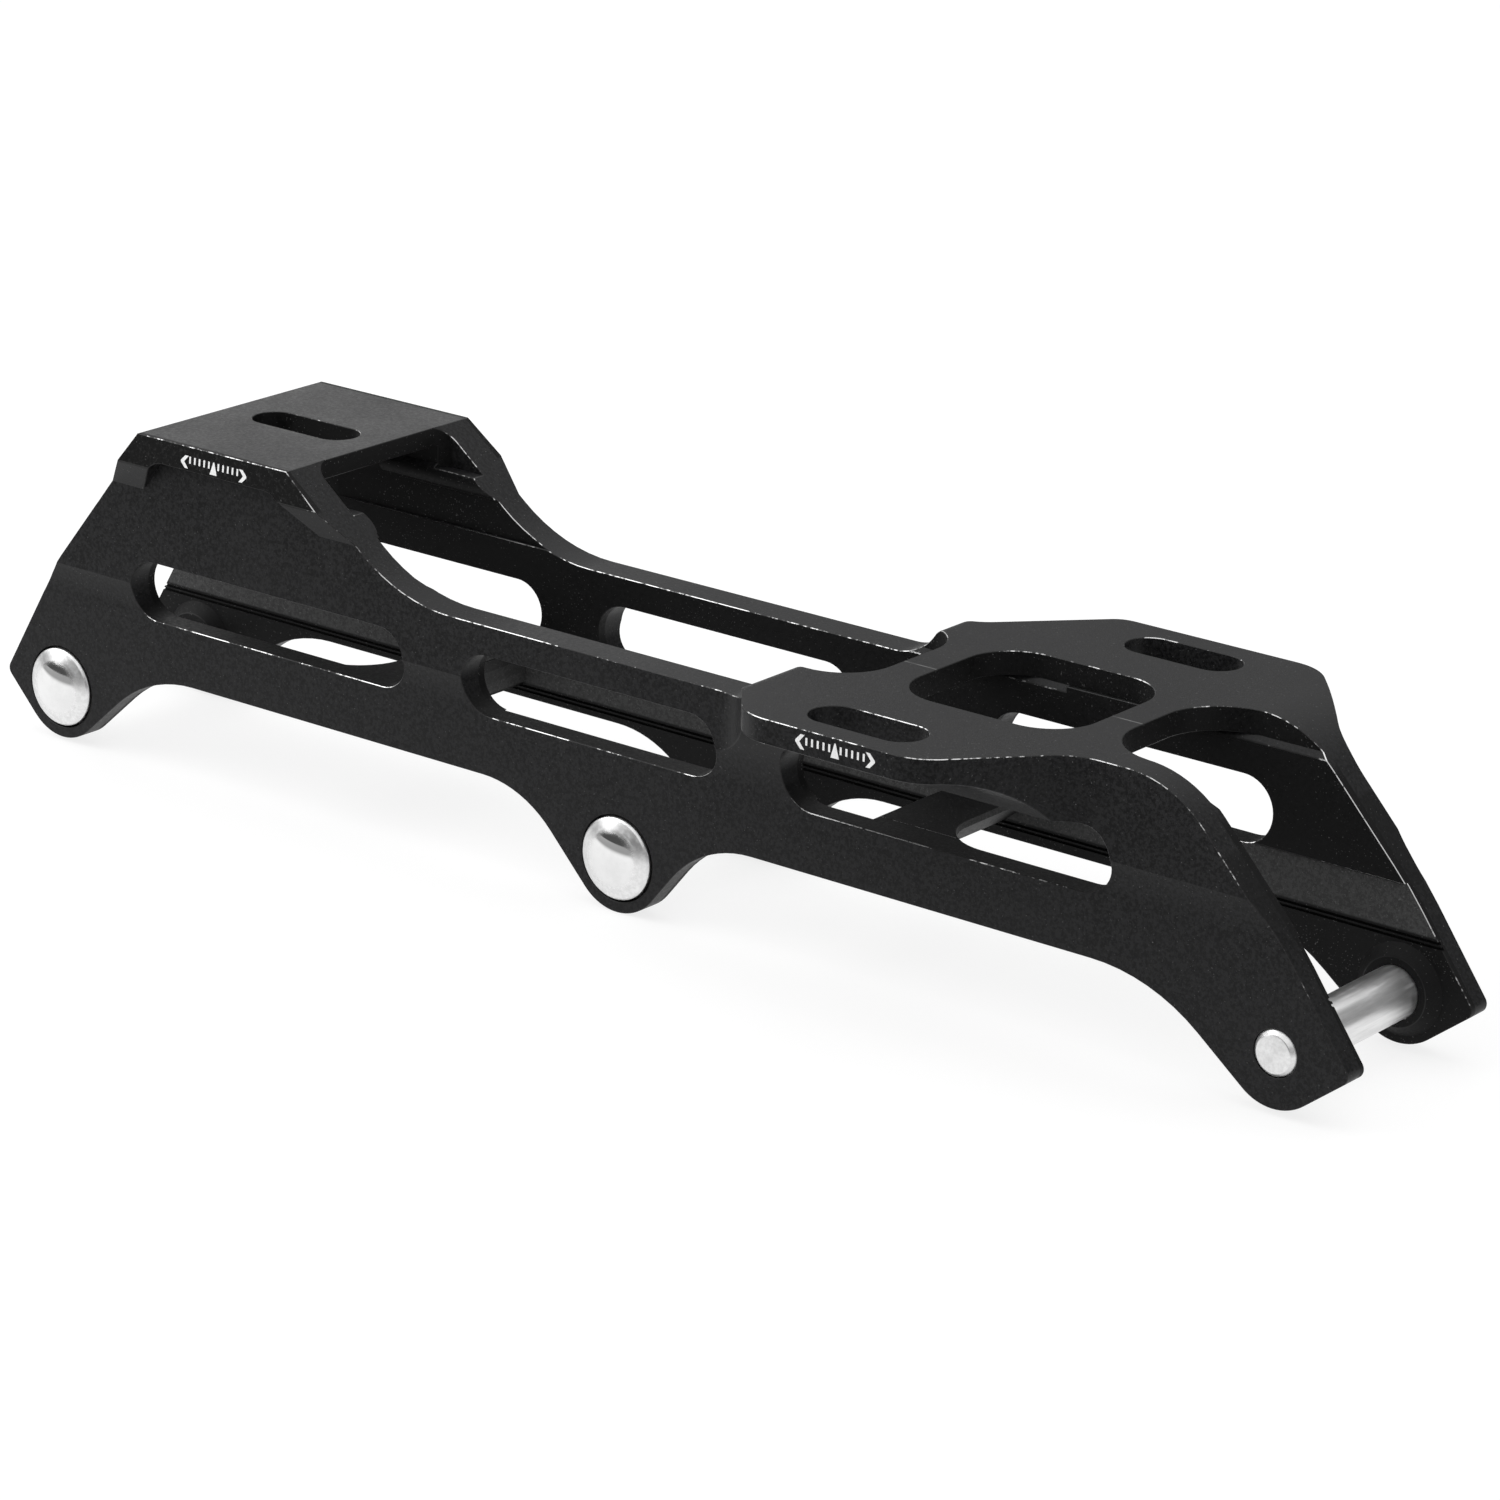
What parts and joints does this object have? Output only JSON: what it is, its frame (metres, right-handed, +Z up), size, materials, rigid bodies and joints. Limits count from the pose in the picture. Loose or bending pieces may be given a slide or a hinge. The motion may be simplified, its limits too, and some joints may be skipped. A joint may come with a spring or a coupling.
{
  "type": "inline skate frame",
  "caption": "Low black aluminium inline skate frame with two stepped mounting decks, slotted lobes, windowed side walls and removable cross axles.",
  "frame": {"origin": "bottom centre of the bounding box, under the middle axle, level with the bottom of the middle lug", "axes": "+X towards the toe, +Y towards the inner side of the foot, +Z up towards the boot"},
  "size_m": [0.2588, 0.0728, 0.0567],
  "materials": {
    "black_anodised": "satin bead-blasted black anodising",
    "polished_steel": "turned steel, polished heads and brushed shafts"
  },
  "bodies": {
    "frame": {"frame_body": "black_anodised"},
    "rear_axle": {"rear_axle": "polished_steel"},
    "middle_axle": {"middle_axle": "polished_steel"},
    "front_axle": {"front_axle": "polished_steel"}
  },
  "joints": [
    {"name": "rear_axle_withdrawal", "type": "slide", "parent": "frame", "child": "rear_axle", "axis": [0, -1, 0], "range_m": [0, 0.04]},
    {"name": "middle_axle_withdrawal", "type": "slide", "parent": "frame", "child": "middle_axle", "axis": [0, -1, 0], "range_m": [0, 0.04]},
    {"name": "front_axle_withdrawal", "type": "slide", "parent": "frame", "child": "front_axle", "axis": [0, 1, 0], "range_m": [0, 0.04]}
  ]
}
